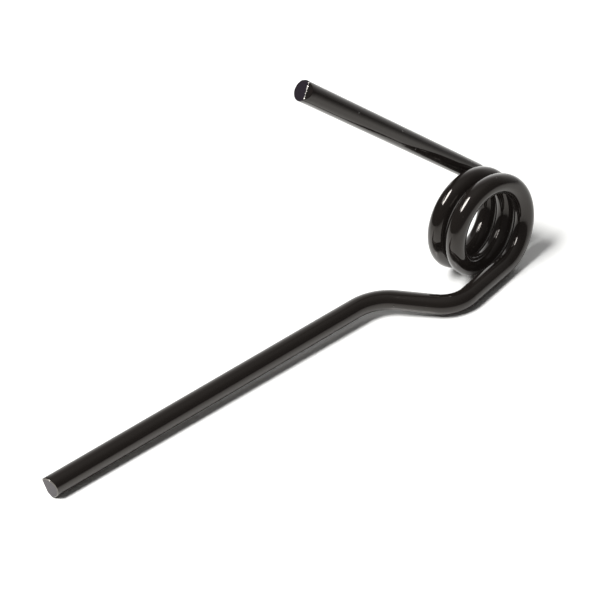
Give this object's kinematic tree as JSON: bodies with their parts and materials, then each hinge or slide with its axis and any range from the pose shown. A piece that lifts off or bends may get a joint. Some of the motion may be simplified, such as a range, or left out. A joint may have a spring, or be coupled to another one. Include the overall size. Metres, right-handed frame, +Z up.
{
  "type": "torsion spring",
  "caption": "Torsion spring of one round black-coated wire: an open coil, a long straight leg set over by a jog, and a shorter leg that rises from the coil, with nipped ends.",
  "frame": {"origin": "on the coil's axis, level with the middle of the wire where the long leg becomes the first turn", "axes": "+Y along the coil's axis from the long leg's side to the short leg's side, +Z up as the spring lies at rest, -X towards the free ends of both legs"},
  "size_m": [0.2548, 0.0625, 0.125],
  "materials": {
    "black_coat": "gloss"
  },
  "bodies": {
    "root": {"spring_wire": "black_coat"}
  },
  "joints": []
}
